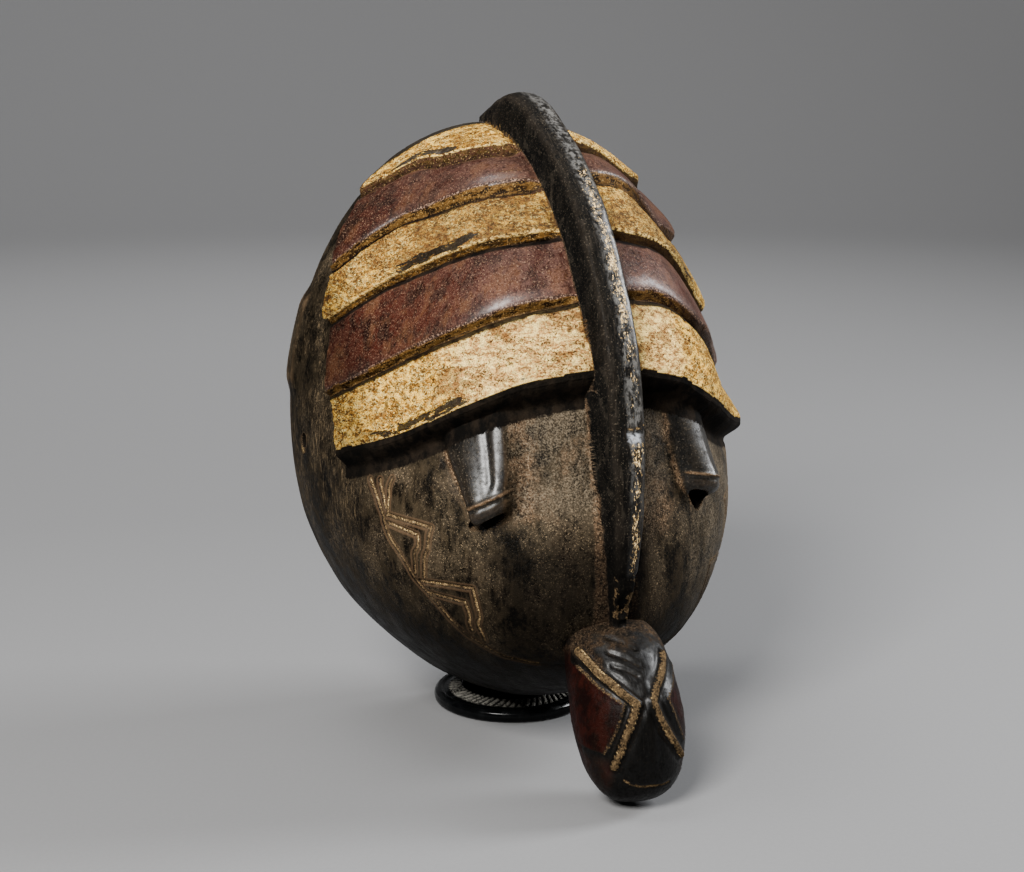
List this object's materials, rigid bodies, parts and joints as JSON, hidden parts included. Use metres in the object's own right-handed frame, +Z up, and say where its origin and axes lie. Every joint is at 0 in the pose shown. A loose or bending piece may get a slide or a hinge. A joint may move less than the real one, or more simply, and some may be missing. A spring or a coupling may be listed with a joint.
{
  "type": "carved face mask",
  "caption": "Hollow carved wooden face mask with a banded cap, a tall middle bar and an animal head at the chin, standing on a small round base.",
  "frame": {"origin": "centre of the round base's underside, on the floor", "axes": "+Z up, the face looks along -Y, +X to the left of the mask's wearer as seen from the front on the viewer's right"},
  "size_m": [0.2214, 0.2125, 0.3138],
  "materials": {
    "carved_wood": "brown-black patina with ochre and oxblood painted bands",
    "black_base": "glossy black"
  },
  "bodies": {
    "root": {"mask": "carved_wood", "stand_base": "black_base"}
  },
  "joints": []
}
